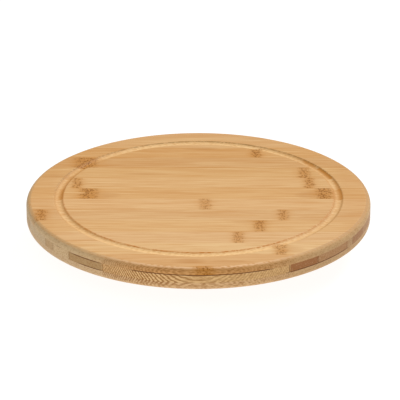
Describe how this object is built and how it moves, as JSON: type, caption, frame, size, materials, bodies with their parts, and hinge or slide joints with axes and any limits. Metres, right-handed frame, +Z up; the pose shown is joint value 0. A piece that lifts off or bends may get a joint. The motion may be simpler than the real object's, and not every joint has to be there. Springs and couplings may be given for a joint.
{
  "type": "lazy susan turntable",
  "caption": "Round bamboo serving board with a shallow groove near its rim, turning on a sheet-metal ball bearing over a smaller round base with rubber feet.",
  "frame": {"origin": "centre of the plane that the four rubber feet stand on", "axes": "+Z up along the bearing's axis; +X along the grain of the board's strips; -Y towards the viewer"},
  "size_m": [0.3, 0.3, 0.043],
  "materials": {
    "bamboo": "oiled light bamboo strips with brown node marks, satin",
    "bamboo_core": "darker bamboo core strips, satin, end grain at the sides",
    "bamboo_under": "bamboo strips, sanded, thin oil",
    "bamboo_base": "bamboo strips, sanded, thin oil",
    "zinc_plate": "stamped sheet, bright zinc plate with a faint spangle",
    "ball_steel": "polished bearing steel with a film of grease",
    "screw_steel": "zinc-plated fastener",
    "nylon": "natural moulded nylon",
    "rubber": "soft black rubber, matte"
  },
  "bodies": {
    "base": {"base_disc": "bamboo_base", "bearing_lower_plate": "zinc_plate", "base_screw_01": "screw_steel", "base_screw_02": "screw_steel", "base_screw_03": "screw_steel", "base_screw_04": "screw_steel", "rubber_foot_01": "rubber", "rubber_foot_02": "rubber", "rubber_foot_03": "rubber", "rubber_foot_04": "rubber", "foot_washer_01": "screw_steel", "foot_washer_02": "screw_steel", "foot_washer_03": "screw_steel", "foot_washer_04": "screw_steel", "foot_screw_01": "screw_steel", "foot_screw_02": "screw_steel", "foot_screw_03": "screw_steel", "foot_screw_04": "screw_steel"},
    "ball_ring": {"ball_cage": "nylon"},
    "rolling_ball_01": {"ball_01": "ball_steel"},
    "rolling_ball_02": {"ball_02": "ball_steel"},
    "rolling_ball_03": {"ball_03": "ball_steel"},
    "rolling_ball_04": {"ball_04": "ball_steel"},
    "rolling_ball_05": {"ball_05": "ball_steel"},
    "rolling_ball_06": {"ball_06": "ball_steel"},
    "rolling_ball_07": {"ball_07": "ball_steel"},
    "rolling_ball_08": {"ball_08": "ball_steel"},
    "rolling_ball_09": {"ball_09": "ball_steel"},
    "rolling_ball_10": {"ball_10": "ball_steel"},
    "rolling_ball_11": {"ball_11": "ball_steel"},
    "rolling_ball_12": {"ball_12": "ball_steel"},
    "rolling_ball_13": {"ball_13": "ball_steel"},
    "rolling_ball_14": {"ball_14": "ball_steel"},
    "rolling_ball_15": {"ball_15": "ball_steel"},
    "rolling_ball_16": {"ball_16": "ball_steel"},
    "rolling_ball_17": {"ball_17": "ball_steel"},
    "rolling_ball_18": {"ball_18": "ball_steel"},
    "rolling_ball_19": {"ball_19": "ball_steel"},
    "rolling_ball_20": {"ball_20": "ball_steel"},
    "rolling_ball_21": {"ball_21": "ball_steel"},
    "rolling_ball_22": {"ball_22": "ball_steel"},
    "rolling_ball_23": {"ball_23": "ball_steel"},
    "rolling_ball_24": {"ball_24": "ball_steel"},
    "turntable": {"board_top_ply": "bamboo", "board_core_ply": "bamboo_core", "board_bottom_ply": "bamboo_under", "bearing_upper_plate": "zinc_plate", "board_screw_01": "screw_steel", "board_screw_02": "screw_steel", "board_screw_03": "screw_steel", "board_screw_04": "screw_steel"}
  },
  "joints": [
    {"name": "turntable_spin", "type": "hinge", "parent": "base", "child": "turntable", "pos_m": [0, 0, 0.019], "axis": [0, 0, 1], "continuous": true},
    {"name": "cage_spin", "type": "hinge", "parent": "base", "child": "ball_ring", "pos_m": [0, 0, 0.019], "axis": [0, 0, 1], "continuous": true},
    {"name": "ball_01_roll", "type": "hinge", "parent": "ball_ring", "child": "rolling_ball_01", "pos_m": [0.035, 0, 0.019], "axis": [1, 0, 0], "continuous": true},
    {"name": "ball_02_roll", "type": "hinge", "parent": "ball_ring", "child": "rolling_ball_02", "pos_m": [0.03381, 0.00906, 0.019], "axis": [0.9659, 0.2588, 0], "continuous": true},
    {"name": "ball_03_roll", "type": "hinge", "parent": "ball_ring", "child": "rolling_ball_03", "pos_m": [0.03031, 0.0175, 0.019], "axis": [0.866, 0.5, 0], "continuous": true},
    {"name": "ball_04_roll", "type": "hinge", "parent": "ball_ring", "child": "rolling_ball_04", "pos_m": [0.02475, 0.02475, 0.019], "axis": [0.7071, 0.7071, 0], "continuous": true},
    {"name": "ball_05_roll", "type": "hinge", "parent": "ball_ring", "child": "rolling_ball_05", "pos_m": [0.0175, 0.03031, 0.019], "axis": [0.5, 0.866, 0], "continuous": true},
    {"name": "ball_06_roll", "type": "hinge", "parent": "ball_ring", "child": "rolling_ball_06", "pos_m": [0.00906, 0.03381, 0.019], "axis": [0.2588, 0.9659, 0], "continuous": true},
    {"name": "ball_07_roll", "type": "hinge", "parent": "ball_ring", "child": "rolling_ball_07", "pos_m": [0, 0.035, 0.019], "axis": [0, 1, 0], "continuous": true},
    {"name": "ball_08_roll", "type": "hinge", "parent": "ball_ring", "child": "rolling_ball_08", "pos_m": [-0.00906, 0.03381, 0.019], "axis": [-0.2588, 0.9659, 0], "continuous": true},
    {"name": "ball_09_roll", "type": "hinge", "parent": "ball_ring", "child": "rolling_ball_09", "pos_m": [-0.0175, 0.03031, 0.019], "axis": [-0.5, 0.866, 0], "continuous": true},
    {"name": "ball_10_roll", "type": "hinge", "parent": "ball_ring", "child": "rolling_ball_10", "pos_m": [-0.02475, 0.02475, 0.019], "axis": [-0.7071, 0.7071, 0], "continuous": true},
    {"name": "ball_11_roll", "type": "hinge", "parent": "ball_ring", "child": "rolling_ball_11", "pos_m": [-0.03031, 0.0175, 0.019], "axis": [-0.866, 0.5, 0], "continuous": true},
    {"name": "ball_12_roll", "type": "hinge", "parent": "ball_ring", "child": "rolling_ball_12", "pos_m": [-0.03381, 0.00906, 0.019], "axis": [-0.9659, 0.2588, 0], "continuous": true},
    {"name": "ball_13_roll", "type": "hinge", "parent": "ball_ring", "child": "rolling_ball_13", "pos_m": [-0.035, 0, 0.019], "axis": [-1, 0, 0], "continuous": true},
    {"name": "ball_14_roll", "type": "hinge", "parent": "ball_ring", "child": "rolling_ball_14", "pos_m": [-0.03381, -0.00906, 0.019], "axis": [-0.9659, -0.2588, 0], "continuous": true},
    {"name": "ball_15_roll", "type": "hinge", "parent": "ball_ring", "child": "rolling_ball_15", "pos_m": [-0.03031, -0.0175, 0.019], "axis": [-0.866, -0.5, 0], "continuous": true},
    {"name": "ball_16_roll", "type": "hinge", "parent": "ball_ring", "child": "rolling_ball_16", "pos_m": [-0.02475, -0.02475, 0.019], "axis": [-0.7071, -0.7071, 0], "continuous": true},
    {"name": "ball_17_roll", "type": "hinge", "parent": "ball_ring", "child": "rolling_ball_17", "pos_m": [-0.0175, -0.03031, 0.019], "axis": [-0.5, -0.866, 0], "continuous": true},
    {"name": "ball_18_roll", "type": "hinge", "parent": "ball_ring", "child": "rolling_ball_18", "pos_m": [-0.00906, -0.03381, 0.019], "axis": [-0.2588, -0.9659, 0], "continuous": true},
    {"name": "ball_19_roll", "type": "hinge", "parent": "ball_ring", "child": "rolling_ball_19", "pos_m": [0, -0.035, 0.019], "axis": [0, -1, 0], "continuous": true},
    {"name": "ball_20_roll", "type": "hinge", "parent": "ball_ring", "child": "rolling_ball_20", "pos_m": [0.00906, -0.03381, 0.019], "axis": [0.2588, -0.9659, 0], "continuous": true},
    {"name": "ball_21_roll", "type": "hinge", "parent": "ball_ring", "child": "rolling_ball_21", "pos_m": [0.0175, -0.03031, 0.019], "axis": [0.5, -0.866, 0], "continuous": true},
    {"name": "ball_22_roll", "type": "hinge", "parent": "ball_ring", "child": "rolling_ball_22", "pos_m": [0.02475, -0.02475, 0.019], "axis": [0.7071, -0.7071, 0], "continuous": true},
    {"name": "ball_23_roll", "type": "hinge", "parent": "ball_ring", "child": "rolling_ball_23", "pos_m": [0.03031, -0.0175, 0.019], "axis": [0.866, -0.5, 0], "continuous": true},
    {"name": "ball_24_roll", "type": "hinge", "parent": "ball_ring", "child": "rolling_ball_24", "pos_m": [0.03381, -0.00906, 0.019], "axis": [0.9659, -0.2588, 0], "continuous": true}
  ],
  "couplings": [
    {"joint": "cage_spin", "follows": "turntable_spin", "ratio": 0.5},
    {"joint": "ball_01_roll", "follows": "turntable_spin", "ratio": -7.3529},
    {"joint": "ball_02_roll", "follows": "turntable_spin", "ratio": -7.3529},
    {"joint": "ball_03_roll", "follows": "turntable_spin", "ratio": -7.3529},
    {"joint": "ball_04_roll", "follows": "turntable_spin", "ratio": -7.3529},
    {"joint": "ball_05_roll", "follows": "turntable_spin", "ratio": -7.3529},
    {"joint": "ball_06_roll", "follows": "turntable_spin", "ratio": -7.3529},
    {"joint": "ball_07_roll", "follows": "turntable_spin", "ratio": -7.3529},
    {"joint": "ball_08_roll", "follows": "turntable_spin", "ratio": -7.3529},
    {"joint": "ball_09_roll", "follows": "turntable_spin", "ratio": -7.3529},
    {"joint": "ball_10_roll", "follows": "turntable_spin", "ratio": -7.3529},
    {"joint": "ball_11_roll", "follows": "turntable_spin", "ratio": -7.3529},
    {"joint": "ball_12_roll", "follows": "turntable_spin", "ratio": -7.3529},
    {"joint": "ball_13_roll", "follows": "turntable_spin", "ratio": -7.3529},
    {"joint": "ball_14_roll", "follows": "turntable_spin", "ratio": -7.3529},
    {"joint": "ball_15_roll", "follows": "turntable_spin", "ratio": -7.3529},
    {"joint": "ball_16_roll", "follows": "turntable_spin", "ratio": -7.3529},
    {"joint": "ball_17_roll", "follows": "turntable_spin", "ratio": -7.3529},
    {"joint": "ball_18_roll", "follows": "turntable_spin", "ratio": -7.3529},
    {"joint": "ball_19_roll", "follows": "turntable_spin", "ratio": -7.3529},
    {"joint": "ball_20_roll", "follows": "turntable_spin", "ratio": -7.3529},
    {"joint": "ball_21_roll", "follows": "turntable_spin", "ratio": -7.3529},
    {"joint": "ball_22_roll", "follows": "turntable_spin", "ratio": -7.3529},
    {"joint": "ball_23_roll", "follows": "turntable_spin", "ratio": -7.3529},
    {"joint": "ball_24_roll", "follows": "turntable_spin", "ratio": -7.3529}
  ]
}
